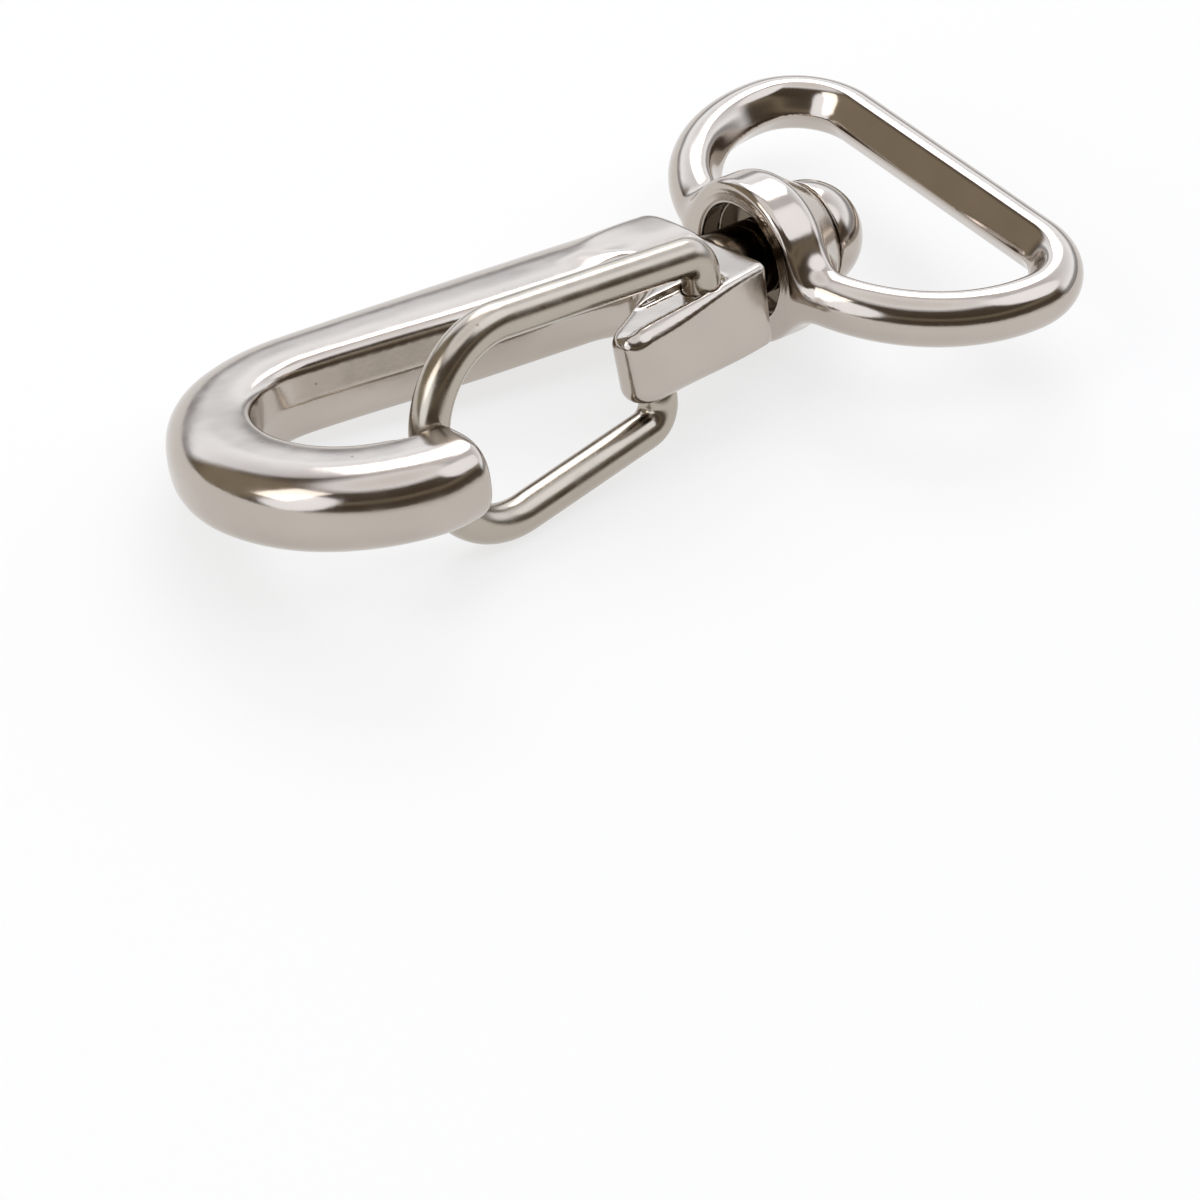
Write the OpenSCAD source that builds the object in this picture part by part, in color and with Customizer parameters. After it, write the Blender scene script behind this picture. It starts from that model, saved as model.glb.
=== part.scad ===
// Swivel snap hook with a wire gate and a webbing ring.
// The swivel axis is X, from the hook towards the ring, and Z is up.
// The origin is the middle of the ring's far bar, which the webbing goes round.
// The hook lies rolled about X, as it rests on the edge of its spine and on its gate.

/* [Webbing ring] */
// Width of the webbing that the ring takes
strap_w = 25; // [20:0.5:32]
// Play beside the webbing, on each side
strap_play = 0.5; // [0.2:0.1:1.5]
// Diameter of the ring's bar
ring_d = 4; // [3:0.1:5]
// Distance from the swivel's reference point, in the collar, to the middle of the far bar
ring_reach = 17.5; // [16:0.5:26]
// Centreline radius of the ring's two far corners
ring_corner_r = 5; // [4:0.25:7]
// Centreline radius of the shoulders that run to the collar
shoulder_r = 12.2; // [11:0.2:14]

/* [Collar] */
// Radius of the collar's barrel
collar_r = 6; // [5.5:0.1:7]
// Distance from the reference point forward to the collar's rim
collar_front = 1.5; // [1:0.1:2]
// Distance from the reference point back to where the collar's taper starts
collar_rim = 1.6; // [1:0.1:2.4]
// Distance from the reference point back to the collar's rear face
collar_back = 4.5; // [4.2:0.1:5.4]
// Radius of the collar's rear face, at the end of the taper
collar_rear_r = 3.7; // [3.2:0.1:4.4]
// Radius that rounds the collar's front edge
collar_round = 0.5; // [0.3:0.1:0.8]
// Radius of the hollow in the collar's front
hollow_r = 4.3; // [4:0.1:4.6]
// Depth of the hollow
hollow_depth = 1.8; // [1:0.1:2.4]

/* [Swivel rivet] */
// Diameter of the rivet's shank
rivet_d = 4.4; // [3:0.1:4.6]
// Radius of the rivet's domed head
rivet_head_r = 4; // [3.2:0.1:4.2]
// Depth of the rivet's tail in the hook's head, from the head's end face
rivet_tail = 3.8; // [2.4:0.1:4.2]
// Running clearance round the shank
swivel_play = 0.05; // [0.02:0.01:0.08]
// Clearance between the turning faces, on each side of the collar
face_play = 0.12; // [0.05:0.01:0.3]
// Radius of the hook's boss that reaches into the collar's hollow
boss_r = 2.7; // [2.6:0.1:2.9]

/* [Hook] */
// Thickness of the cast hook, across its flat sides
hook_t = 5.8; // [5:0.1:7]
// Width of the hook's bar, from its inner side to its outer side
hook_w = 6.4; // [5.4:0.1:7.4]
// Distance from the reference point forward to the end face of the head
head_face = 4.2; // [3.8:0.1:5.4]
// Distance from the reference point forward to the middle of the bowl
bowl_reach = 35; // [32:0.5:40]
// Offset of the bowl's middle from the swivel axis, towards the gate
bowl_offset = 2; // [1:0.1:3]
// Centreline radius of the bowl
bowl_r = 9.8; // [9:0.1:11]
// Slope of the spine, away from the swivel axis towards the bowl
spine_slope = 6.5; // [4:0.5:8]
// Length of the straight tip past the bowl
tip_len = 2; // [1.5:0.1:3]
// Radius that rounds the end of the tip
tip_round = 1.2; // [0.8:0.1:1.8]
// Depth of the seat cut into the tip's inner side for the gate
seat_depth = 1.9; // [1.4:0.1:2.2]
// Length of the seat along the tip
seat_len = 2.9; // [2.7:0.1:3.6]

/* [Lug] */
// Thickness of the head and the lug
lug_t = 6; // [5.2:0.1:7]
// Distance from the swivel axis to the head's corner on the gate's side
head_side = 7.1; // [6.8:0.1:8]
// Length of the lug, from the head's end face to its free end
lug_len = 13.4; // [12.4:0.1:14.4]
// Distance from the swivel axis to the lug's outer side at its free end
lug_side = 9.9; // [9.6:0.1:10.6]
// Width of the lug at its free end
lug_end_w = 2.9; // [2.6:0.1:3.2]
// Radius that rounds the lug's outer corner at its free end
lug_corner_r = 1.2; // [0.8:0.1:1.6]
// Radius of the throat between the spine and the lug
throat_r = 2.4; // [1.8:0.1:2.8]
// Distance from the head's end face to the end of the throat
throat_depth = 5.4; // [5:0.1:6]
// Radius of the head's rounded corner on the spine side
head_corner_r = 3; // [2:0.25:4]
// Depth of the recess in the top and bottom of the lug
recess_depth = 0.4; // [0.2:0.1:0.8]
// Width of the rim round the recess
recess_rim = 0.7; // [0.5:0.1:0.9]

/* [Wire gate] */
// Diameter of the gate's wire
gate_d = 2.7; // [2.2:0.1:2.8]
// Height of the gate's nose, between the middles of its two legs
gate_h = 15.6; // [15:0.2:16.4]
// Radius of the nose's two bends, at the middle of the wire
nose_r = 6.4; // [5:0.1:6.6]
// Distance from the bowl's middle to the middle of the nose, towards the ring
nose_inset = 0.9; // [0.4:0.1:1.1]
// Radius of the bend at each pivot, at the middle of the wire
pivot_bend_r = 1.7; // [1.4:0.1:1.7]
// Gap between the lug's face and the leg that crosses it
leg_gap = 0.9; // [0.3:0.1:1.1]
// Distance from the head's end face to the upper pivot
upper_pivot_x = 5.2; // [4.9:0.1:5.6]
// Distance between the upper pivot and the lower pivot, along the lug
pivot_spread = 5; // [4.4:0.1:5.6]
// Wall between the upper pivot hole and the lug's outer side
pivot_wall = 0.5; // [0.4:0.05:0.8]
// Depth of each pivot hole
pivot_depth = 1.9; // [1.4:0.1:2.3]
// Running clearance round the pivots
pivot_play = 0.05; // [0.02:0.01:0.08]
// Widest swing of the gate, inwards
gate_swing = 23; // [15:1:24]

/* [Resting pose] */
// Roll of the hook about the swivel axis, gate side up
hook_roll = 13.7; // [0:0.1:20]

/* [Hidden] */
$fn = 64;

// Overshoot of a cut past the face that it opens
cut = 1;
// Free space at the bottom of a blind hole
blind_play = 0.15;
// Clearance between the closed gate and its seat
seat_play = 0.05;
// Length that each straight run shares with the bend next to it
bend_lap = 0.1;
// Loss of thickness where the wire and the hook's bar are bent
bend_thinning = 0.04;

// Depth at which the middle of each ring arm meets the collar
ring_arm_bury = 1.2;
// Material past the bar's sides that the rounding of the tip leaves alone
tip_margin = 0.4;

// Ring and collar
ring_r = ring_d / 2;
ring_half = strap_w / 2 + strap_play + ring_r;
corner_x = ring_reach - ring_corner_r;
shoulder_y = ring_half - shoulder_r;
arm_root = collar_r - ring_arm_bury;
shoulder_sweep = 90 - asin((arm_root - shoulder_y) / shoulder_r);
rivet_r = rivet_d / 2;
rivet_head_x = collar_back + face_play;

// Spine and bowl, seen from above
spine_start = [
    -bowl_reach + bowl_r * sin(spine_slope),
    -bowl_offset + bowl_r * cos(spine_slope)
];
function spine_y(x) = spine_start[1] - (x - spine_start[0]) * tan(spine_slope);
bowl_inner_y = -(bowl_offset + bowl_r - hook_w / 2);
tip_end = tip_len - bowl_reach;
seat_y = bowl_inner_y - seat_depth;

// Rim between the upper pivot hole and the end of the recess
recess_end_rim = recess_rim / 2;

// Lug, seen from above
lug_end = -head_face - lug_len;
lug_slope = atan2(lug_side - head_side, lug_len);
function lug_y(x) = -head_side - (-head_face - x) * tan(lug_slope);
lug_corner = [
    lug_end + lug_corner_r,
    lug_y(lug_end + lug_corner_r) + lug_corner_r / cos(lug_slope)
];
throat = [
    -head_face - throat_depth - throat_r,
    spine_y(-head_face - throat_depth - throat_r) - hook_w / 2 / cos(spine_slope) - throat_r
];
lug_inner_end = [lug_end, -lug_side + lug_end_w];
throat_vector = throat - lug_inner_end;
throat_heading = atan2(throat_vector[1], throat_vector[0]) - asin(throat_r / norm(throat_vector));
lug_inner_start = throat + throat_r * [sin(throat_heading), -cos(throat_heading)];

// Wire gate
gate_r = gate_d / 2;
hole_r = gate_r + pivot_play;
upper_pivot = [
    -head_face - upper_pivot_x,
    lug_y(-head_face - upper_pivot_x) + pivot_wall + hole_r
];
pin_end = lug_t / 2 - pivot_depth + blind_play;
leg_z = lug_t / 2 + leg_gap + gate_r;
gate_y = seat_y + seat_play + gate_r;
nose_x = nose_inset - bowl_reach;
nose_vector = [nose_x, gate_y] - upper_pivot;
gate_reach = norm(nose_vector);
gate_heading = atan2(nose_vector[1], nose_vector[0]);

// The wire lies in one upright plane: distances from the upper pivot, and heights
gate_path = [
    [0, pin_end],
    [0, leg_z],
    [gate_reach, gate_h / 2],
    [gate_reach, -gate_h / 2],
    [pivot_spread, -leg_z],
    [pivot_spread, -pin_end]
];
gate_bends = [0, pivot_bend_r, nose_r, nose_r, pivot_bend_r, 0];

nickel = [0.75, 0.73, 0.70];
bright = [0.80, 0.78, 0.75];
wire_tone = [0.68, 0.66, 0.63];

// One coordinate of a superellipse
function bulge(value, power) = sign(value) * pow(abs(value), 2 / power);

// Section of the hook's bar. Its outer side is round, and its inner side has
// two drafted faces that meet in a ridge at the parting line.
section_draft = 0.35;
section_step = 10;
// Powers of the section's curves: 2 gives an ellipse, and more is squarer
flat_power = 2.7;
outer_power = 2.2;
inner_power = 4;
function section_point(a) = let (z = bulge(sin(a), flat_power) * hook_t / 2) cos(a) >= 0
    ? [bulge(cos(a), outer_power) * hook_w / 2, z]
    : [bulge(cos(a), inner_power) * hook_w / 2 + section_draft * pow(sin(a), 2), z];
section = [for (a = [0 : section_step : 360 - section_step]) section_point(a)];
bend_section = section * (1 - 2 * bend_thinning / hook_t);

// Puts its children on the swivel axis: their Z becomes the hook's X
module on_axis() {
    rotate([0, 90, 0]) children();
}

// Moves its children from the swivel's reference point to the part's origin
module at_bar() {
    translate([-ring_reach, 0, 0]) children();
}

// Puts the pieces that roll with the hook in their own pose
module in_hook_pose() {
    at_bar() rotate([-hook_roll, 0, 0]) children();
}

// A straight bar with the hook's section, along -Y from the origin
module hook_bar(length) {
    rotate([90, 0, 0]) linear_extrude(length) polygon(section);
}

// The bowl, with the spine tangent to one end of it
module bowl_and_spine() {
    translate([-bowl_reach, -bowl_offset, 0]) rotate([0, 0, 90 - spine_slope]) {
        rotate_extrude(angle = 180 + spine_slope) translate([bowl_r, 0]) polygon(bend_section);
        translate([bowl_r, bend_lap, 0]) hook_bar(bowl_reach + hook_w);
    }
}

// The tip, with its end rounded about its own axis
module tip() {
    side = hook_w / 2 + tip_margin;
    translate([-bowl_reach, -bowl_offset - bowl_r, 0]) intersection() {
        translate([-bend_lap, 0, 0]) rotate([0, 0, 90]) mirror([1, 0, 0]) hook_bar(tip_len + bend_lap);
        on_axis() rotate_extrude() {
            translate([0, -cut]) square([side, tip_len - tip_round + cut]);
            square([side - tip_round, tip_len]);
            translate([side - tip_round, tip_len - tip_round]) circle(tip_round);
        }
    }
}

// The tip's inner side is cut back, so that the gate's nose seats against it
module gate_seat() {
    seat_start = tip_end - seat_len;
    translate([seat_start, seat_y, -hook_t]) cube([seat_len + cut, hook_w, 2 * hook_t]);
    translate([seat_start, seat_y + seat_depth, -hook_t]) cylinder(h = 2 * hook_t, r = seat_depth);
}

// Head and lug seen from above, with the throat between the lug and the spine
module lug_plan() {
    difference() {
        polygon([
            [-head_face, spine_y(-head_face)],
            [-head_face, -head_side],
            lug_corner + lug_corner_r * [sin(lug_slope), -cos(lug_slope)],
            lug_corner,
            lug_corner - [lug_corner_r, 0],
            lug_inner_end,
            lug_inner_start,
            throat,
            [throat[0], spine_y(throat[0])]
        ]);
        translate(throat) circle(throat_r);
    }
    translate(lug_corner) circle(lug_corner_r);
}

// Everything past the head's end face, and its corner on the spine side
module head_trim() {
    corner = [
        -head_face - head_corner_r,
        spine_y(-head_face - 2 * head_corner_r) + hook_w / 2 / cos(spine_slope) - head_corner_r
    ];
    translate([-head_face, -2 * hook_w, -lug_t]) cube([2 * hook_w, 4 * hook_w, 2 * lug_t]);
    translate([0, 0, -lug_t]) linear_extrude(2 * lug_t) difference() {
        translate(corner) square(head_corner_r + cut);
        translate(corner) circle(head_corner_r);
    }
}

// The recess that the gate's leg crosses, open on the lug's inner side
module leg_recess() {
    far_end = upper_pivot[0] + hole_r + recess_end_rim;
    translate([0, 0, lug_t / 2 - recess_depth]) linear_extrude(recess_depth + cut) polygon([
        [lug_end + recess_rim, lug_y(lug_end) + recess_rim],
        [far_end, lug_y(far_end) + recess_rim],
        [far_end, upper_pivot[1] + hole_r],
        [lug_end + recess_rim, lug_inner_end[1] + cut]
    ]);
}

// The arc that the lower end of the wire travels in, about the upper pivot
module lower_slot() {
    side = asin(hole_r / pivot_spread);
    translate([upper_pivot[0], upper_pivot[1], -lug_t / 2 - cut])
        rotate([0, 0, gate_heading - gate_swing - side])
            rotate_extrude(angle = gate_swing + 2 * side)
                translate([pivot_spread - hole_r, 0]) square([2 * hole_r, pivot_depth + cut]);
}

module hook_body() {
    boss_end = -collar_front + hollow_depth - face_play;
    color(nickel) in_hook_pose() difference() {
        union() {
            difference() {
                union() {
                    bowl_and_spine();
                    tip();
                    translate([0, 0, -lug_t / 2]) linear_extrude(lug_t) lug_plan();
                }
                head_trim();
                gate_seat();
            }
            translate([-head_face - cut, 0, 0]) on_axis() cylinder(h = head_face + cut + boss_end, r = boss_r);
        }
        translate([-head_face - rivet_tail, 0, 0]) on_axis()
            cylinder(h = head_face + rivet_tail + boss_end + cut, r = rivet_r);
        leg_recess();
        mirror([0, 0, 1]) leg_recess();
        translate([upper_pivot[0], upper_pivot[1], lug_t / 2 - pivot_depth])
            cylinder(h = pivot_depth + cut, r = hole_r);
        lower_slot();
    }
}

// Unit vector from one point to another
function toward(a, b) = (b - a) / norm(b - a);

// Angle through which the wire turns at corner i of the path
function turn_angle(path, i) = acos(toward(path[i - 1], path[i]) * toward(path[i], path[i + 1]));

// Distance from corner i to where its bend starts
function bend_reach(path, bends, i) = bends[i] == 0 ? 0 : bends[i] * tan(turn_angle(path, i) / 2);

// The wire from point i onwards. Each run goes along Z, and turns towards X at its end.
module wire_from(path, bends, i, r) {
    run = norm(path[i + 1] - path[i]) - bend_reach(path, bends, i) - bend_reach(path, bends, i + 1);
    start = bends[i] == 0 ? 0 : -bend_lap;
    end = bends[i + 1] == 0 ? run : run + bend_lap;
    translate([0, 0, start]) cylinder(h = end - start, r = r);
    if (i + 2 < len(path)) {
        angle = turn_angle(path, i + 1);
        bend = bends[i + 1];
        translate([bend, 0, run]) {
            rotate([90, 0, 0]) rotate([0, 0, 180 - angle])
                rotate_extrude(angle = angle) translate([bend, 0]) circle(r - bend_thinning);
            rotate([0, angle, 0]) translate([-bend, 0, 0]) wire_from(path, bends, i + 1, r);
        }
    }
}

module wire_gate() {
    color(wire_tone) in_hook_pose() translate([upper_pivot[0], upper_pivot[1], pin_end])
        rotate([0, 0, gate_heading]) wire_from(gate_path, gate_bends, 0, gate_r);
}

// The barrel of the collar, with a rounded front edge and a taper behind its rim
module barrel() {
    on_axis() rotate_extrude() {
        polygon([
            [0, -collar_front],
            [collar_r - collar_round, -collar_front],
            [collar_r - collar_round, collar_round - collar_front],
            [collar_r, collar_round - collar_front],
            [collar_r, collar_rim],
            [collar_rear_r, collar_back],
            [0, collar_back]
        ]);
        translate([collar_r - collar_round, collar_round - collar_front]) circle(collar_round);
    }
}

// One side of the ring: the shoulder from the collar and the corner to the far bar
module ring_side() {
    translate([corner_x, shoulder_y, 0]) rotate([0, 0, 90])
        rotate_extrude(angle = shoulder_sweep) translate([shoulder_r, 0]) circle(ring_r);
    translate([corner_x, ring_half - ring_corner_r, 0])
        rotate_extrude(angle = 90) translate([ring_corner_r, 0]) circle(ring_r);
}

module swivel_ring() {
    color(bright) at_bar() difference() {
        union() {
            barrel();
            ring_side();
            mirror([0, 1, 0]) ring_side();
            translate([ring_reach, ring_corner_r - ring_half, 0]) rotate([-90, 0, 0])
                cylinder(h = 2 * (ring_half - ring_corner_r), r = ring_r);
        }
        translate([-collar_front - cut, 0, 0]) on_axis() cylinder(h = hollow_depth + cut, r = hollow_r);
        translate([-collar_front, 0, 0]) on_axis()
            cylinder(h = collar_front + collar_back + cut, r = rivet_r + swivel_play);
    }
}

module swivel_rivet() {
    shank_start = -head_face - rivet_tail + blind_play;
    color(bright) at_bar() on_axis() {
        translate([0, 0, shank_start]) cylinder(h = rivet_head_x - shank_start, r = rivet_r);
        translate([0, 0, rivet_head_x]) rotate_extrude() intersection() {
            circle(rivet_head_r);
            square(rivet_head_r);
        }
    }
}

hook_body();
wire_gate();
swivel_ring();
swivel_rivet();
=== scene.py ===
"""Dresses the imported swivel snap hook: smooth cast forms, plated metal, floor, light and camera."""
import math

import bpy
import numpy as np
from mathutils import Matrix
from mathutils import Vector


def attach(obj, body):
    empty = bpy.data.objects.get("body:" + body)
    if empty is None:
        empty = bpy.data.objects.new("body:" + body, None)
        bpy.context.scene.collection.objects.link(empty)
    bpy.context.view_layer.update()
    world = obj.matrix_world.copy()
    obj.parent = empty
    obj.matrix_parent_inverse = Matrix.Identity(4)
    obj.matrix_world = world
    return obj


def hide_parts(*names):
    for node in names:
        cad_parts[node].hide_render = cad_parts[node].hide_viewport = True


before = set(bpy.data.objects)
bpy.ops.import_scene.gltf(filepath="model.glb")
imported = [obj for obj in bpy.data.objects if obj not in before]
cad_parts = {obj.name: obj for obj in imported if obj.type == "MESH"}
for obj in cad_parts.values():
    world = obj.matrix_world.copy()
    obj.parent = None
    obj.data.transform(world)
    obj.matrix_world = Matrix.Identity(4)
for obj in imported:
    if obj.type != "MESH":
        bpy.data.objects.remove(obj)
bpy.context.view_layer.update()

# Lengths are millimetres from the swivel's reference point, and MM turns them into metres.
# The hook and its gate are shaped upright and then rolled about X by hook_roll degrees.
MM = 0.001
FAR = 9.0  # a distance at which a cut or a blend has no effect

# Ring and collar
ring_reach = 17.5
ring_r = 2.0
ring_half = 15.0
ring_corner_r = 5.0
ring_draft = math.radians(33.0)
ring_inner_share = 0.82
ring_ridge_blend = 0.35
shoulder_r = 12.2
arm_root = 4.8
arm_overlap = 0.2
arm_blend = 1.6
collar_r = 6.0
collar_front = 1.5
collar_rim = 1.6
collar_back = 4.57
collar_rear_r = 3.9
collar_taper_blend = 0.35
collar_back_blend = 0.1
collar_front_blend = 0.7
hollow_r = 4.3
hollow_depth = 1.8
hollow_blend = 0.35
bore_r = 2.25
bore_blend = 0.15
bore_overlap = 1.0
turned_line_radii = (5.3, 4.85)
turned_line_w = 0.12
turned_line_depth = 0.05
turned_line_reach = 0.3

# Rivet
rivet_r = 2.2
rivet_head_r = 4.0
rivet_head_x = 4.62
rivet_head_blend = 0.1
rivet_start = -7.85
rivet_overlap = 0.5

# Hook's bar: the spine, the bowl and the tip
hook_roll = 13.7
bar_half_w = 3.2
bar_half_t = 2.9
bar_inner_half_w = 4.1
bar_draft = math.radians(5.0)
outer_power = 2.3
inner_power = 4.0
flat_power = 2.6
bar_ridge_blend = 0.7
least_slope = 0.3
bowl = np.array([-35.0, -2.0])
bowl_r = 9.8
spine_slope = math.radians(6.5)
tip_end = -33.4
tip_blend = 1.1
seat_start = -35.9
seat_y = -10.5
seat_depth = 1.9
seat_blend = 0.3
seat_limit = (-25.0, -5.0)

# The spine widens from the bowl to the head, by these amounts over these lengths.
swell_out = 0.9
swell_out_start = -5.0
swell_out_run = 24.0
swell_in = 0.65
swell_in_run = 14.0

# The bowl's plan stands out on the tip's side and is shorter at its far end.
low_shift = 0.9
low_shift_start_y = 2.0
low_shift_run_y = 12.0
low_shift_start_x = -30.5
low_shift_run_x = 7.0
far_shift = 0.45
far_shift_start_y = -4.0
far_shift_run_y = 9.0
far_shift_start_x = -37.0
far_shift_run_x = 9.0

# Head and lug
head_face = -4.2
head_edge = 0.8
head_corner_inset = 0.75
head_corner_r = 4.6
head_corner_end = -20.0
head_corner_blend = 0.5
boss_r = 2.7
boss_end = 0.18
boss_overlap = 1.0
boss_blend = 0.3
shank_play = 0.15
lug_half_t = 3.0
lug_corner_near = np.array([-4.2, -7.1])
lug_corner_far = np.array([-17.6, -9.9])
lug_inner_end = np.array([-17.6, -7.0])
lug_slant = 0.15
lug_end_blend = 2.2
lug_root = 1.4
lug_root_blend = 1.0
lug_bar_blend = 1.3
throat = np.array([-12.0, -0.378])
throat_r = 2.4
throat_edge = 0.9
throat_limit = -5.0
throat_reach = 1.5
throat_blend = 5.0

# The lug's rim is rounder towards its free end, and its faces sink a little beside the spine.
rim_least_r = 0.45
rim_more_r = 0.95
rim_start_x = -6.0
rim_run_x = 9.0
rim_start_side = 1.1
rim_run_side = 1.5
rim_end_x = -22.0
rim_end_run = 4.0
sink = 0.5
sink_start_x = -6.5
sink_run_x = 7.0
sink_start_side = -4.0
sink_run_side = 2.5

# Recess in both faces of the lug
recess_depth = 0.4
recess_rim = 0.7
recess_more_rim = 0.35
recess_more_start = -8.0
recess_more_run = 8.0
recess_end_blend = 1.0
recess_side = np.array([-7.65, -4.887])
recess_side_slope = 0.12
recess_side_blend = 0.4
recess_edge = 0.25

# Wire gate
wire_r = 1.35
wire_sides = 64
hole_r = 1.4
hole_edge = 0.12
pivot_floor = 1.1
upper_pivot = np.array([-9.4, -6.2866])
pivot_spread = 5.0
pivot_bend_r = 1.7
gate_nose = np.array([-34.1, -9.1])
nose_half = 7.8
nose_r = 6.4
leg_z = 5.25
pin_end = 1.25
gate_swing = math.radians(23.0)
arc_step = 0.16
straight_step = 0.5

# Mesh cells and the boxes that they fill, and how a mesh is drawn onto its surface
hook_low = (-49.0, -16.0, -3.87)
hook_high = (1.0, 12.2, 3.9)
ring_low = (-2.2, -17.6, -6.4)
ring_high = (20.1, 17.6, 6.4)
rivet_low = (-8.5, -4.2, -4.2)
rivet_high = (9.4, 4.2, 4.2)
cast_cell = 0.17
rivet_cell = 0.13
probe = 0.01
settle_rounds = 4
least_gradient = 0.05


def smooth_max(a, b, k):
    """The larger of two distances, with the crease between them rounded."""
    h = np.clip(k - np.abs(a - b), 0.0, None) / k
    return np.maximum(a, b) + h * h * k / 4


def smooth_min(a, b, k):
    """The smaller of two distances, with the crease between them filled."""
    return -smooth_max(-a, -b, k)


def ease(value):
    """0 to 1 with a soft start and a soft end."""
    share = np.clip(value, 0, 1)
    return share * share * (3 - 2 * share)


def rounded_slab(flat, z, half, r):
    """A plan of signed distance flat, made half thick each way, with its two rims rounded by r."""
    a = flat + r
    b = np.abs(z) - half + r
    return np.minimum(np.maximum(a, b), 0) + np.hypot(np.maximum(a, 0), np.maximum(b, 0)) - r


def edge_crossings(values, cells):
    """The mean point, in cells, where the surface crosses each cell's edges."""
    total = np.zeros((len(cells), 3))
    crossings = np.zeros(len(cells))
    for axis in range(3):
        others = [a for a in range(3) if a != axis]
        for p in (0, 1):
            for q in (0, 1):
                start = np.zeros(3, dtype=int)
                start[others[0]] = p
                start[others[1]] = q
                end = start.copy()
                end[axis] = 1
                v0 = values[tuple((cells + start).T)]
                v1 = values[tuple((cells + end).T)]
                hit = (v0 < 0) != (v1 < 0)
                t = np.where(hit, v0 / np.where(hit, v0 - v1, 1.0), 0.0)
                point = start + t[:, None] * (end - start)
                total[hit] += point[hit]
                crossings[hit] += 1
    return cells + total / crossings[:, None]


def settle(points, field, cell):
    """Moves the points onto the surface along the field's slope."""
    for _ in range(settle_rounds):
        value = field(*points.T)
        slope = np.zeros_like(points)
        for axis in range(3):
            shift = np.zeros(3)
            shift[axis] = probe
            slope[:, axis] = (field(*(points + shift).T) - field(*(points - shift).T)) / (2 * probe)
        size = np.maximum((slope ** 2).sum(axis=1), least_gradient)
        move = slope * (value / size)[:, None]
        length = np.maximum(np.linalg.norm(move, axis=1), 1e-9)
        points = points - move * np.minimum(1.0, 0.5 * cell / length)[:, None]
    return points


def quads_between(inside, index):
    """One quad for each grid edge that the surface crosses, facing outwards."""
    faces = []
    for axis in range(3):
        a, b = [(1, 2), (2, 0), (0, 1)][axis]
        first = [slice(1, -1)] * 3
        second = [slice(1, -1)] * 3
        first[axis] = slice(0, -1)
        second[axis] = slice(1, None)
        change = inside[tuple(first)] != inside[tuple(second)]
        at = np.argwhere(change)
        at[:, a] += 1
        at[:, b] += 1
        outward = inside[tuple(at.T)]
        corners = []
        for da, db in [(-1, -1), (0, -1), (0, 0), (-1, 0)]:
            neighbour = at.copy()
            neighbour[:, a] += da
            neighbour[:, b] += db
            corners.append(index[tuple(neighbour.T)])
        quad = np.column_stack(corners)
        quad[~outward] = quad[~outward][:, ::-1]
        faces.append(quad)
    return np.vstack(faces)


def surface_mesh(name, field, low, high, cell):
    """A fine quad mesh of the surface where field(x, y, z) is zero."""
    grid = [np.arange(a, b + cell, cell) for a, b in zip(low, high)]
    values = field(*np.meshgrid(*grid, indexing="ij"))
    inside = values < 0
    nx, ny, nz = [len(a) - 1 for a in grid]
    count = np.zeros((nx, ny, nz), dtype=np.int8)
    for i in (0, 1):
        for j in (0, 1):
            for k in (0, 1):
                count += inside[i:i + nx, j:j + ny, k:k + nz]
    active = (count > 0) & (count < 8)
    cells = np.argwhere(active)
    index = np.full(active.shape, -1, dtype=np.int64)
    index[active] = np.arange(len(cells))
    points = np.array(low) + cell * edge_crossings(values, cells)
    return mesh_object(name, settle(points, field, cell), quads_between(inside, index))


def mesh_object(name, points, faces):
    """An object with a smooth mesh of points in millimetres."""
    mesh = bpy.data.meshes.new(name)
    mesh.from_pydata((np.asarray(points) * MM).tolist(), [], [list(map(int, f)) for f in faces])
    mesh.validate()
    mesh.shade_smooth()
    obj = bpy.data.objects.new(name, mesh)
    bpy.context.scene.collection.objects.link(obj)
    return obj


def place(obj, roll=0.0):
    """Moves a mesh from the swivel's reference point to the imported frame, rolled about X."""
    turn = Matrix.Rotation(-math.radians(roll), 4, "X")
    obj.data.transform(Matrix.Translation((-ring_reach * MM, 0, 0)) @ turn)


# Cast hook

spine_out = np.array([math.sin(spine_slope), math.cos(spine_slope)])
spine_along = np.array([math.cos(spine_slope), -math.sin(spine_slope)])

lug_side = lug_corner_far - lug_corner_near
lug_side = lug_side / np.linalg.norm(lug_side)
lug_out = np.array([-lug_side[1], lug_side[0]])
throat_gap = throat - lug_inner_end
throat_heading = math.atan2(throat_gap[1], throat_gap[0]) - math.asin(throat_r / np.linalg.norm(throat_gap))
lug_inner_out = np.array([math.sin(throat_heading), -math.cos(throat_heading)])

gate_line = gate_nose - upper_pivot
gate_reach = float(np.linalg.norm(gate_line))
gate_heading = math.atan2(gate_line[1], gate_line[0]) % (2 * math.pi)
slot_side = math.asin(hole_r / pivot_spread)
slot_end = gate_heading + slot_side
slot_start = slot_end - gate_swing - 2 * slot_side


def bar_offset(x, y):
    """Distances outwards from the bar's centreline and from the spine's."""
    qx = x - bowl[0]
    qy = y - bowl[1]
    spine = qx * spine_out[0] + qy * spine_out[1] - bowl_r
    tip = -qy - bowl_r
    arc = np.hypot(qx, qy) - bowl_r
    on_spine = (qx * spine_along[0] + qy * spine_along[1] > 0) & (qy > 0)
    on_tip = (qx > 0) & (qy <= 0)
    return np.where(on_spine, spine, np.where(on_tip, tip, arc)), spine


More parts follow.
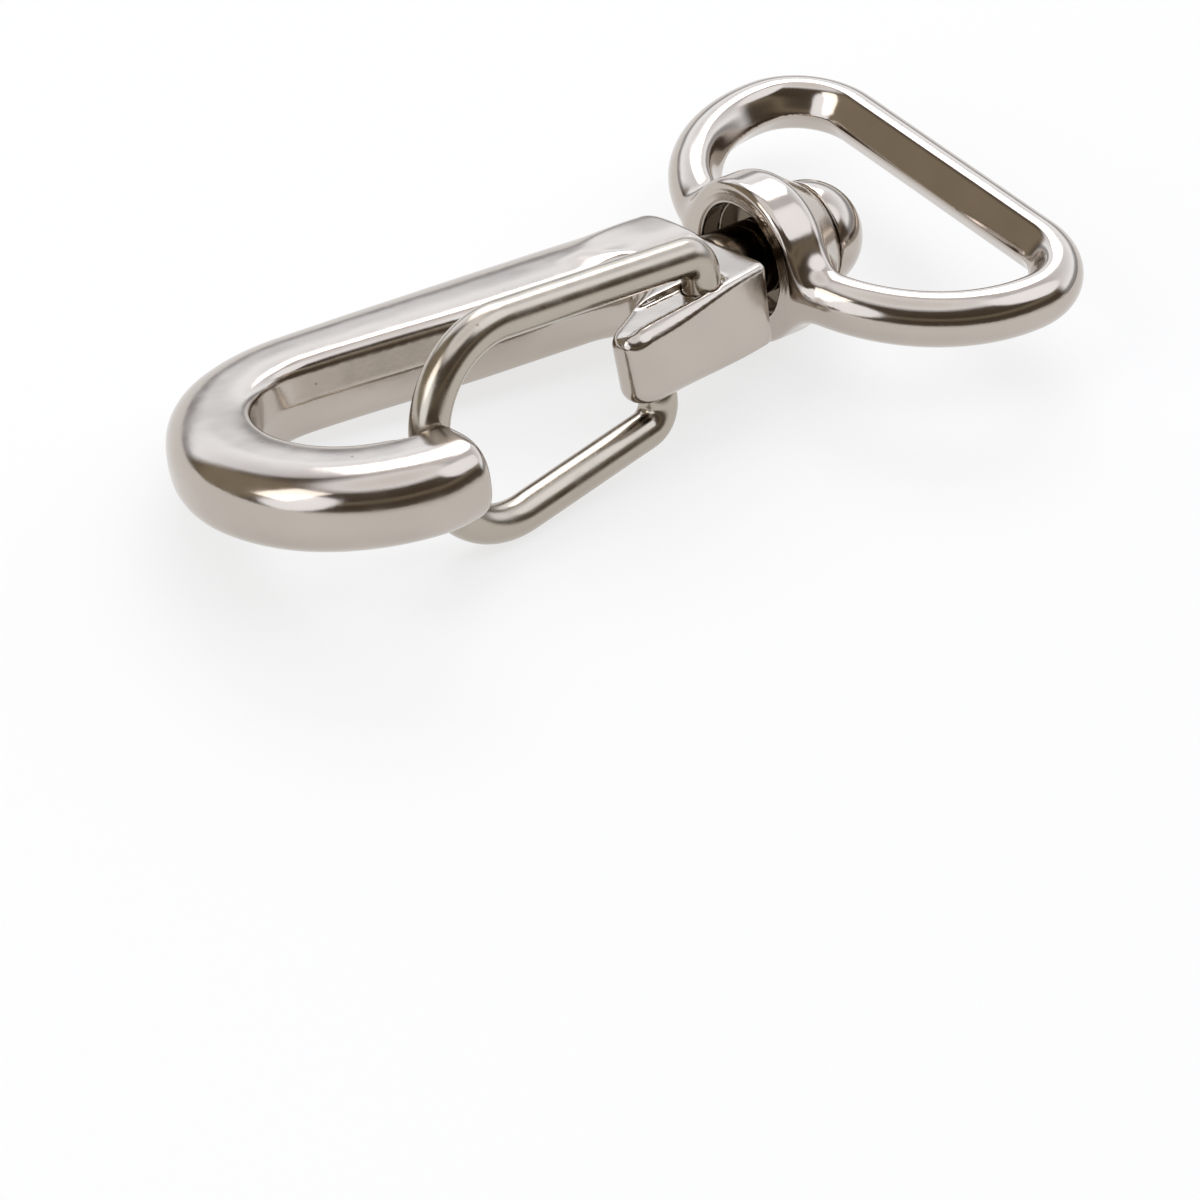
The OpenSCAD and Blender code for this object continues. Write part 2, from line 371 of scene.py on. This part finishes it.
def bar_section(u, z):
    """Round outside, two drafted faces inside that meet in a faint ridge."""
    outer = u > 0
    half = np.where(outer, bar_half_w, bar_inner_half_w)
    power = np.where(outer, outer_power, inner_power)
    s = np.abs(u) / half
    t = np.abs(z) / bar_half_t
    level = s ** power + t ** flat_power - 1
    across = power / half * s ** (power - 1)
    upright = flat_power / bar_half_t * t ** (flat_power - 1)
    round_side = level / np.maximum(np.hypot(across, upright), least_slope)
    inner = (-u - bar_half_w) * math.cos(bar_draft) + np.abs(z) * math.sin(bar_draft)
    return smooth_max(round_side, inner, bar_ridge_blend)


def spine_swell(x, y):
    """How far the spine's outer and inner sides stand out past the bowl's width."""
    along = (x - bowl[0]) * spine_along[0] + (y - bowl[1]) * spine_along[1]
    rise = np.clip((along - swell_out_start) / swell_out_run, 0, 1)
    out = swell_out * (1 - (1 - rise) ** 2)
    into = swell_in * ease(along / swell_in_run)
    upper = y > bowl[1]
    return np.where(upper, out, 0.0), np.where(upper, into, 0.0)


def bowl_plan(x, y):
    """The point of the plain bend that lands at x, y in the bowl's real plan."""
    down = low_shift * ease((low_shift_start_y - y) / low_shift_run_y)
    down = down * ease((low_shift_start_x - x) / low_shift_run_x)
    inwards = far_shift * ease((y - far_shift_start_y) / far_shift_run_y)
    inwards = inwards * ease((far_shift_start_x - x) / far_shift_run_x)
    return x - inwards, y + down


def hook_bar(x, y, z):
    """The bent bar with its round tip, and the distance from the spine's centreline."""
    u, spine = bar_offset(*bowl_plan(x, y))
    out, into = spine_swell(x, y)
    wide = bar_half_w + (out + into) / 2
    bar = bar_section((u - (out - into) / 2) * bar_half_w / wide, z)
    tip = smooth_max(bar, x - tip_end, tip_blend)
    return np.where(y < bowl[1], tip, bar), spine


def window_plan(x, y):
    """The open space between spine and lug, with its round throat."""
    qx = x - throat[0]
    qy = y - throat[1]
    low = qx * lug_inner_out[0] + qy * lug_inner_out[1]
    high = qx * spine_out[0] + qy * spine_out[1]
    low_along = -(qx * math.cos(throat_heading) + qy * math.sin(throat_heading))
    high_along = -(qx * spine_along[0] + qy * spine_along[1])
    side = np.maximum(low, high)
    along = np.where(low > high, low_along, high_along)
    return np.where((side > 0) & (along < 0), np.hypot(qx, qy), side) - throat_r


def lug_outer(x, y):
    """Distance past the lug's outer side."""
    return (x - lug_corner_near[0]) * lug_out[0] + (y - lug_corner_near[1]) * lug_out[1]


def lug_end(x, z):
    """Distance past the lug's slanted end face."""
    return lug_corner_far[0] - lug_slant * (z + lug_half_t) - x


def lug_field(x, y, z, spine):
    """The head and the lug as one slab with rounded rims."""
    outer = lug_outer(x, y)
    plan = smooth_max(outer, lug_end(x, z), lug_end_blend)
    plan = smooth_max(plan, x - head_face, head_edge)
    plan = smooth_max(plan, spine - lug_root, lug_root_blend)
    plan = smooth_max(plan, -window_plan(x, y), throat_edge)
    past_throat = np.where(spine > throat_limit, throat[0] - throat_reach - x, -FAR)
    plan = smooth_max(plan, past_throat, throat_blend)
    rounder = ease((rim_start_x - x) / rim_run_x) * ease((rim_start_side - outer) / rim_run_side)
    rim = rim_least_r + rim_more_r * rounder * ease((x - rim_end_x) / rim_end_run)
    sunk = ease((sink_start_x - x) / sink_run_x) * ease((spine - sink_start_side) / sink_run_side)
    return rounded_slab(plan, z, lug_half_t - sink * sunk, rim)


def seat_cut(x, y):
    """The notch inside the tip where the gate's nose rests."""
    square = np.maximum(seat_start - x, seat_y - y)
    inner_round = np.hypot(x - seat_start, y - seat_y - seat_depth) - seat_depth
    return np.where((x < seat_limit[0]) & (y < seat_limit[1]), np.minimum(square, inner_round), FAR)


def recess_cut(x, y, z):
    """The shallow field inside the rim of the lug's two faces."""
    more = recess_more_rim * ease((recess_more_start - x) / recess_more_run)
    strip = smooth_max(lug_outer(x, y) + recess_rim + more, lug_end(x, z) + recess_rim, recess_end_blend)
    strip = smooth_max(strip, x - upper_pivot[0] - hole_r - recess_more_rim, recess_end_blend)
    side = y - recess_side[1] - (x - recess_side[0]) * recess_side_slope
    side = side / math.hypot(1, recess_side_slope)
    strip = smooth_max(strip, side, recess_side_blend)
    return np.maximum(strip, lug_half_t - recess_depth - np.abs(z))


def pivot_cuts(x, y, z):
    """The upper pivot's hole, and the lower pivot's slot that lets the gate swing."""
    px = x - upper_pivot[0]
    py = y - upper_pivot[1]
    reach = np.hypot(px, py)
    hole = np.maximum(reach - hole_r, pivot_floor - z)
    slot = np.abs(reach - pivot_spread) - hole_r
    slot = np.maximum(slot, px * math.sin(slot_start) - py * math.cos(slot_start))
    slot = np.maximum(slot, py * math.cos(slot_end) - px * math.sin(slot_end))
    slot = np.maximum(slot, z + pivot_floor)
    return hole, np.where(px < 0, slot, FAR)


def hook_field(x, y, z):
    bar, spine = hook_bar(x, y, z)
    body = smooth_min(bar, lug_field(x, y, z, spine), lug_bar_blend)
    corner = smooth_max(x - head_face, spine - bar_half_w - head_corner_inset, head_corner_r)
    body = smooth_max(body, np.where(x > head_corner_end, corner, -FAR), head_corner_blend)
    body = smooth_max(body, -seat_cut(x, y), seat_blend)
    boss = np.maximum(np.hypot(y, z) - boss_r, x - boss_end)
    boss = np.maximum(boss, head_face - boss_overlap - x)
    body = smooth_min(body, boss, boss_blend)
    shank = np.maximum(np.hypot(y, z) - rivet_r, rivet_start - shank_play - x)
    body = np.maximum(body, -shank)
    body = smooth_max(body, -recess_cut(x, y, z), recess_edge)
    hole, slot = pivot_cuts(x, y, z)
    body = smooth_max(body, -hole, hole_edge)
    return smooth_max(body, -slot, hole_edge)


hook = surface_mesh("cast_hook", hook_field, hook_low, hook_high, cast_cell)
place(hook, hook_roll)


# Ring with its collar

def ring_section(u, z):
    """Round outside, with two drafted faces inside that meet in a ridge."""
    outer = np.hypot(u, z) - ring_r
    inner = -u * math.cos(ring_draft) + np.abs(z) * math.sin(ring_draft) - ring_inner_share * ring_r
    return smooth_max(outer, inner, ring_ridge_blend)


def ring_offset(x, h):
    """Distance from the middle line of one half of the ring, counted outwards."""
    corner_x = ring_reach - ring_corner_r
    corner_y = ring_half - ring_corner_r
    corner = np.hypot(x - corner_x, h - corner_y) - ring_corner_r
    shoulder = np.hypot(x - corner_x, h - ring_half + shoulder_r) - shoulder_r
    return np.where(x < corner_x, shoulder, np.where(h > corner_y, corner, x - ring_reach))


def collar_barrel(x, rho):
    """The collar's outside, which tapers behind its rim."""
    taper = np.array([collar_back - collar_rim, collar_r - collar_rear_r])
    taper /= np.linalg.norm(taper)
    slant = (rho - collar_r) * taper[0] + (x - collar_rim) * taper[1]
    barrel = smooth_max(rho - collar_r, slant, collar_taper_blend)
    return smooth_max(barrel, x - collar_back, collar_back_blend)


def ring_field(x, y, z):
    h = np.abs(y)
    rho = np.hypot(y, z)
    bar = ring_section(ring_offset(x, h), z)
    bar = np.where((h < arm_root - arm_overlap) & (x < ring_reach - 2 * ring_r), FAR, bar)
    body = smooth_min(collar_barrel(x, rho), bar, arm_blend)
    body = smooth_max(body, -x - collar_front, collar_front_blend)
    hollow = np.maximum(rho - hollow_r, x + collar_front - hollow_depth)
    body = smooth_max(body, -hollow, hollow_blend)
    turned = sum(np.exp(-((rho - r) / turned_line_w) ** 2) for r in turned_line_radii)
    body = body + np.where(x < turned_line_reach - collar_front, turned_line_depth * turned, 0.0)
    bore = np.where(x < collar_back + bore_overlap, bore_r - rho, -FAR)
    return smooth_max(body, bore, bore_blend)


ring = surface_mesh("swivel_eye", ring_field, ring_low, ring_high, cast_cell)
place(ring)


# Rivet

def rivet_field(x, y, z):
    rho = np.hypot(y, z)
    dome = np.hypot(rho, np.maximum(x - rivet_head_x, 0)) - rivet_head_r
    dome = smooth_max(dome, rivet_head_x - x, rivet_head_blend)
    ends = np.maximum(rivet_start - x, x - rivet_head_x - rivet_overlap)
    return np.minimum(dome, np.maximum(rho - rivet_r, ends))


rivet = surface_mesh("domed_rivet", rivet_field, rivet_low, rivet_high, rivet_cell)
place(rivet)


# Wire gate, swept along its path

def wire_path():
    """Centreline points of the wire in its own upright plane, as distance from the pivot and height."""
    corners = [
        (0, pin_end),
        (0, leg_z),
        (gate_reach, nose_half),
        (gate_reach, -nose_half),
        (pivot_spread, -leg_z),
        (pivot_spread, -pin_end),
    ]
    corners = [np.array(c, dtype=float) for c in corners]
    bends = [0, pivot_bend_r, nose_r, nose_r, pivot_bend_r, 0]
    out = [corners[0]]
    for i in range(1, len(corners) - 1):
        before = corners[i] - corners[i - 1]
        before /= np.linalg.norm(before)
        after = corners[i + 1] - corners[i]
        after /= np.linalg.norm(after)
        turn = math.acos(np.clip(before @ after, -1, 1))
        start = corners[i] - before * bends[i] * math.tan(turn / 2)
        side = after - before * (before @ after)
        side /= np.linalg.norm(side)
        centre = start + side * bends[i]
        last = out[-1]
        pieces = int(np.linalg.norm(start - last) / straight_step) + 1
        for s in range(1, pieces):
            out.append(last + (start - last) * s / pieces)
        steps = max(6, int(bends[i] * turn / arc_step))
        for s in range(steps + 1):
            a = turn * s / steps
            out.append(centre - side * bends[i] * math.cos(a) + before * bends[i] * math.sin(a))
    out.append(corners[-1])
    return np.array(out)


def wire_mesh(name):
    """The wire as a round tube with closed ends."""
    path = wire_path()
    heading = gate_line / gate_reach
    middle = np.column_stack([
        upper_pivot[0] + path[:, 0] * heading[0],
        upper_pivot[1] + path[:, 0] * heading[1],
        path[:, 1],
    ])
    tangent = np.gradient(middle, axis=0)
    tangent /= np.linalg.norm(tangent, axis=1)[:, None]
    across = np.array([-heading[1], heading[0], 0.0])
    lift = np.cross(tangent, across)
    points = []
    for i in range(len(middle)):
        for j in range(wire_sides):
            a = 2 * math.pi * j / wire_sides
            points.append(middle[i] + wire_r * (math.cos(a) * across + math.sin(a) * lift[i]))
    faces = []
    for i in range(len(middle) - 1):
        here = i * wire_sides
        there = here + wire_sides
        for j in range(wire_sides):
            k = (j + 1) % wire_sides
            faces.append([here + j, here + k, there + k, there + j])
    faces.append(list(range(wire_sides))[::-1])
    faces.append([len(points) - wire_sides + j for j in range(wire_sides)])
    return mesh_object(name, points, faces)


gate = wire_mesh("sprung_gate")
place(gate, hook_roll)


# Shader nodes that the metal, the floor and the room share

def node_tree(owner):
    """The empty node tree of a material or a world."""
    owner.use_nodes = True
    owner.node_tree.nodes.clear()
    return owner.node_tree


def combined(tree, operation, first, second):
    """One operation on two sockets."""
    node = tree.nodes.new("ShaderNodeMath")
    node.operation = operation
    tree.links.new(first, node.inputs[0])
    tree.links.new(second, node.inputs[1])
    return node.outputs[0]


def share_between(tree, source, start, end, interpolation="LINEAR"):
    """0 to 1 as a value goes from start to end."""
    node = tree.nodes.new("ShaderNodeMapRange")
    node.interpolation_type = interpolation
    node.inputs["From Min"].default_value = start
    node.inputs["From Max"].default_value = end
    tree.links.new(source, node.inputs["Value"])
    return node


def colour_ramp(tree, source, stops):
    """A colour that changes with a value, from its (value, colour) stops."""
    node = tree.nodes.new("ShaderNodeValToRGB")
    while len(node.color_ramp.elements) < len(stops):
        node.color_ramp.elements.new(0.5)
    for element, (at, colour) in zip(node.color_ramp.elements, stops):
        element.position = at
        element.color = (*colour, 1.0)
    tree.links.new(source, node.inputs[0])
    return node.outputs[0]


def blend(tree, share, first, second):
    """The first colour, and the constant second one where the share is 1."""
    node = tree.nodes.new("ShaderNodeMix")
    node.data_type = "RGBA"
    node.inputs[7].default_value = (*second, 1.0)
    tree.links.new(share, node.inputs[0])
    tree.links.new(first, node.inputs[6])
    return node.outputs[2]


# Plated metal. The scales of the noises count per metre, and the heights are millimetres.
plate = (0.52, 0.465, 0.415)
wire_plate = (0.475, 0.425, 0.36)
# Painted shade: the dark colour laid inside the collar's hollow and in the gap behind the head.
painted_shade_colour = (0.15, 0.12, 0.09)
stain_tint = (0.55, 0.52, 0.48)
patch_tint = 0.93
patch_scale = 260.0
pit_scale = 900.0
pit_size = 0.13
pit_height = 0.05
sparse_scale = 420.0
sparse_range = (0.6, 0.68)
dull_scale = 520.0
dull_range = (0.75, 1.45)
wave_scale = 170.0
wave_height = 0.12
grain_scale = 2600.0
grain_height = 0.02
grain_strength = 0.12
noise_low = 0.3
noise_high = 0.7
# Where the painted shade in the hollow and behind the head fades out, in millimetres past its edges.
hollow_fade_r = (0.08, -0.12)
hollow_fade_x = (0.3, 0.1)
gap_fade_x = (-0.02, 0.1)


def painted_hollow_shade(tree, coord, colour):
    """Painted shade: the colour darkens inside the collar's hollow and in the gap behind the head."""
    split = tree.nodes.new("ShaderNodeSeparateXYZ")
    tree.links.new(coord.outputs["Object"], split.inputs[0])
    flat = tree.nodes.new("ShaderNodeCombineXYZ")
    tree.links.new(split.outputs["Y"], flat.inputs["Y"])
    tree.links.new(split.outputs["Z"], flat.inputs["Z"])
    radius = tree.nodes.new("ShaderNodeVectorMath")
    radius.operation = "LENGTH"
    tree.links.new(flat.outputs[0], radius.inputs[0])
    floor_x = hollow_depth - collar_front - ring_reach
    face_x = head_face - ring_reach

    def fade(source, start, ends):
        return share_between(tree, source, (start + ends[0]) * MM, (start + ends[1]) * MM)

    within = fade(radius.outputs["Value"], hollow_r, hollow_fade_r)
    front = fade(split.outputs["X"], floor_x, hollow_fade_x)
    behind = fade(split.outputs["X"], face_x, gap_fade_x)
    share = combined(tree, "MULTIPLY", within.outputs[0], front.outputs[0])
    share = combined(tree, "MULTIPLY", share, behind.outputs[0])
    return blend(tree, share, colour, painted_shade_colour)


def nickel(name, tint, rough, wave, pits, seed):
    """Bright nickel plate: soft waves of the casting, small pits, and patches of duller polish."""
    mat = bpy.data.materials.new(name)
    tree = node_tree(mat)
    out = tree.nodes.new("ShaderNodeOutputMaterial")
    bsdf = tree.nodes.new("ShaderNodeBsdfPrincipled")
    bsdf.inputs["Metallic"].default_value = 1.0
    tree.links.new(bsdf.outputs[0], out.inputs[0])
    coord = tree.nodes.new("ShaderNodeTexCoord")
    shift = tree.nodes.new("ShaderNodeMapping")
    shift.inputs["Location"].default_value = (seed, seed * 0.7, seed * 1.3)
    tree.links.new(coord.outputs["Object"], shift.inputs[0])

    def noise(scale, detail, roughness):
        node = tree.nodes.new("ShaderNodeTexNoise")
        node.inputs["Scale"].default_value = scale
        node.inputs["Detail"].default_value = detail
        node.inputs["Roughness"].default_value = roughness
        tree.links.new(shift.outputs[0], node.inputs["Vector"])
        return node.outputs["Fac"]

    def bump(height_of, strength, height, below=None):
        node = tree.nodes.new("ShaderNodeBump")
        node.inputs["Strength"].default_value = strength
        node.inputs["Distance"].default_value = height * MM
        tree.links.new(height_of, node.inputs["Height"])
        if below:
            tree.links.new(below.outputs[0], node.inputs["Normal"])
        return node

    darker = tuple(c * patch_tint for c in tint)
    patches = noise(patch_scale, 4.0, 0.55)
    colour = colour_ramp(tree, patches, [(noise_low, darker), (noise_high, tint)])
    cells = tree.nodes.new("ShaderNodeTexVoronoi")
    cells.inputs["Scale"].default_value = pit_scale
    tree.links.new(shift.outputs[0], cells.inputs["Vector"])
    pit = colour_ramp(tree, cells.outputs["Distance"], [(0.0, (1, 1, 1)), (pit_size, (0, 0, 0))])
    sparse = noise(sparse_scale, 2.0, 0.5)
    chosen = colour_ramp(tree, sparse, [(sparse_range[0], (0, 0, 0)), (sparse_range[1], (1, 1, 1))])
    pitted = combined(tree, "MULTIPLY", pit, chosen)
    stain = tuple(c * share for c, share in zip(tint, stain_tint))
    colour = blend(tree, pitted, colour, stain)
    # The base colour gets painted shade inside the collar's hollow and behind the head.
    tree.links.new(painted_hollow_shade(tree, coord, colour), bsdf.inputs["Base Color"])

    dull = share_between(tree, noise(dull_scale, 5.0, 0.6), noise_low, noise_high)
    dull.inputs["To Min"].default_value = rough * dull_range[0]
    dull.inputs["To Max"].default_value = rough * dull_range[1]
    tree.links.new(dull.outputs[0], bsdf.inputs["Roughness"])

    waves = bump(noise(wave_scale, 2.0, 0.4), wave, wave_height)
    grain = bump(noise(grain_scale, 4.0, 0.6), grain_strength, grain_height, waves)
    hollows = bump(pitted, pits, pit_height, grain)
    hollows.invert = True
    tree.links.new(hollows.outputs[0], bsdf.inputs["Normal"])
    return mat


for piece, body, node, slot, tint, rough, wave, pits, seed in [
    (hook, "hook", "hook_body", "hook_plating", plate, 0.13, 0.5, 0.15, 0.0),
    (ring, "ring", "swivel_ring", "ring_plating", plate, 0.11, 0.5, 0.3, 0.3),
    (rivet, "hook", "swivel_rivet", "rivet_plating", plate, 0.12, 0.3, 0.3, 0.6),
    (gate, "gate", "wire_gate", "wire_plating", wire_plate, 0.2, 0.2, 0.2, 0.9),
]:
    piece.data.materials.append(nickel(piece.name + "_plate", tint, rough, wave, pits, seed))
    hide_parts(node)
    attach(piece, body)


# Floor, which touches the collar, the gate's nose and the spine. Its sizes are metres.
middle = Vector((-0.03, 0, 0))
floor_normal = Vector((0.0209, -0.0624, 0.9978)).normalized()
floor_level = -0.00641
floor_half = 0.6
floor_colour = (0.92, 0.92, 0.92)
floor_glow = 0.72

floor_point = middle + floor_normal * (floor_level - floor_normal.dot(middle))
floor_turn = floor_normal.to_track_quat("Z", "Y").to_matrix()
square = []
for side_x, side_y in [(-1, -1), (1, -1), (1, 1), (-1, 1)]:
    square.append(tuple(floor_point + floor_turn @ Vector((side_x * floor_half, side_y * floor_half, 0))))
floor_mesh = bpy.data.meshes.new("floor")
floor_mesh.from_pydata(square, [], [(0, 1, 2, 3)])
floor = bpy.data.objects.new("floor", floor_mesh)
bpy.context.scene.collection.objects.link(floor)


def floor_material():
    """White to the camera and to the metal, apart from a share that takes the shadow."""
    mat = bpy.data.materials.new("pale_floor")
    tree = node_tree(mat)
    out = tree.nodes.new("ShaderNodeOutputMaterial")
    mix = tree.nodes.new("ShaderNodeMixShader")
    diffuse = tree.nodes.new("ShaderNodeBsdfDiffuse")
    diffuse.inputs["Color"].default_value = (*floor_colour, 1.0)
    glow = tree.nodes.new("ShaderNodeEmission")
    glow.inputs["Color"].default_value = (1, 1, 1, 1)
    glow.inputs["Strength"].default_value = 1.0
    ray = tree.nodes.new("ShaderNodeLightPath").outputs
    seen = combined(tree, "MAXIMUM", ray["Is Camera Ray"], ray["Is Glossy Ray"])
    seen = combined(tree, "MAXIMUM", seen, ray["Is Transmission Ray"])
    part = tree.nodes.new("ShaderNodeMath")
    part.operation = "MULTIPLY"
    part.inputs[1].default_value = floor_glow
    tree.links.new(seen, part.inputs[0])
    tree.links.new(part.outputs[0], mix.inputs[0])
    tree.links.new(diffuse.outputs[0], mix.inputs[1])
    tree.links.new(glow.outputs[0], mix.inputs[2])
    tree.links.new(mix.outputs[0], out.inputs[0])
    return mat


floor_mesh.materials.append(floor_material())


# The room around: white to the camera, and to the metal a bright wall behind the spine, a dark side
# in front with a brown tone, two windows, and an olive glow. Ramps run from the horizon to the top.
wall_stops = [
    (0.0, (0.4, 0.4, 0.42)),
    (0.15, (0.5, 0.51, 0.54)),
    (0.24, (1.5, 1.6, 1.74)),
    (0.3, (1.5, 1.6, 1.74)),
    (0.5, (1.2, 1.26, 1.38)),
    (0.8, (0.85, 0.86, 0.92)),
    (1.0, (1.0, 0.99, 0.98)),
]
dark_stops = [
    (0.0, (0.85, 0.83, 0.8)),
    (0.07, (0.12, 0.1, 0.08)),
    (0.3, (0.09, 0.066, 0.048)),
    (0.46, (0.26, 0.22, 0.165)),
    (0.56, (0.09, 0.07, 0.05)),
    (0.84, (0.12, 0.095, 0.075)),
    (0.93, (1.3, 1.33, 1.42)),
    (1.0, (1.1, 1.1, 1.12)),
]
window_colour = (1.55, 1.62, 1.75)
olive_colour = (0.33, 0.28, 0.205)
# Each patch of the room: the direction to its middle, the cosines of its outer and inner rim, its colour.
room_patches = [
    ((-0.9, -0.12, 0.4), 0.905, 0.94, window_colour),
    ((0.55, -0.33, 0.77), 0.93, 0.955, window_colour),
    ((-0.62, 0.62, 0.47), 0.8, 0.95, olive_colour),
]
wall_patch = ((0.8, 0.6, 0.0), 0.3, 0.5)

world = bpy.data.worlds.new("studio")
bpy.context.scene.world = world
sky = node_tree(world)
out = sky.nodes.new("ShaderNodeOutputWorld")
mix = sky.nodes.new("ShaderNodeMixShader")
seen = sky.nodes.new("ShaderNodeBackground")
seen.inputs["Color"].default_value = (1, 1, 1, 1)
seen.inputs["Strength"].default_value = 1.0
room = sky.nodes.new("ShaderNodeBackground")
room.inputs["Strength"].default_value = 1.0
coord = sky.nodes.new("ShaderNodeTexCoord")
split = sky.nodes.new("ShaderNodeSeparateXYZ")
sky.links.new(coord.outputs["Generated"], split.inputs[0])


def toward_share(direction, start, end):
    """0 to 1 as a ray turns towards a direction, from one cosine to another."""
    dot = sky.nodes.new("ShaderNodeVectorMath")
    dot.operation = "DOT_PRODUCT"
    dot.inputs[1].default_value = Vector(direction).normalized()
    sky.links.new(coord.outputs["Generated"], dot.inputs[0])
    return share_between(sky, dot.outputs["Value"], start, end, "SMOOTHSTEP").outputs[0]


both_sides = sky.nodes.new("ShaderNodeMix")
both_sides.data_type = "RGBA"
sky.links.new(toward_share(*wall_patch), both_sides.inputs[0])
sky.links.new(colour_ramp(sky, split.outputs["Z"], dark_stops), both_sides.inputs[6])
sky.links.new(colour_ramp(sky, split.outputs["Z"], wall_stops), both_sides.inputs[7])
room_colour = both_sides.outputs[2]
for direction, rim, core, colour in room_patches:
    room_colour = blend(sky, toward_share(direction, rim, core), room_colour, colour)
sky.links.new(room_colour, room.inputs["Color"])
light_path = sky.nodes.new("ShaderNodeLightPath")
sky.links.new(light_path.outputs["Is Camera Ray"], mix.inputs[0])
sky.links.new(room.outputs[0], mix.inputs[1])
sky.links.new(seen.outputs[0], mix.inputs[2])
sky.links.new(mix.outputs[0], out.inputs[0])


# Lamps, in metres and watts

def soft_light(name, at, size, power, colour):
    """A rectangular softbox aimed at the part's middle."""
    data = bpy.data.lights.new(name, "AREA")
    data.shape = "RECTANGLE"
    data.size = size[0]
    data.size_y = size[1]
    data.energy = power
    data.color = colour
    obj = bpy.data.objects.new(name, data)
    obj.location = at
    obj.rotation_euler = (middle - Vector(at)).to_track_quat("-Z", "Y").to_euler()
    bpy.context.scene.collection.objects.link(obj)


soft_light("softbox_back", (0.35, 0.45, 0.55), (0.5, 0.35), 1.8, (1.0, 0.99, 1.0))
soft_light("softbox_left", (-0.55, 0.1, 0.45), (0.3, 0.4), 0.8, (1.0, 0.99, 0.98))


# Camera at the photograph's angle, with its place in millimetres
camera_at = Vector((-178.536, -182.107, 162.321))
camera_axes = Matrix((
    (0.79468, 0.35196, -0.49457),
    (-0.60555, 0.51645, -0.60546),
    (0.04232, 0.78064, 0.62355),
))
focal_px = 4165.5
photo_px = 1200
sensor_w = 36.0

camera_data = bpy.data.cameras.new("camera")
camera_data.sensor_width = sensor_w
camera_data.lens = focal_px / photo_px * sensor_w
camera_data.clip_start = 0.01
camera = bpy.data.objects.new("camera", camera_data)
camera.matrix_world = Matrix.Translation(camera_at * MM) @ camera_axes.to_4x4()
bpy.context.scene.collection.objects.link(camera)
bpy.context.scene.camera = camera
bpy.context.scene.view_settings.view_transform = "Standard"
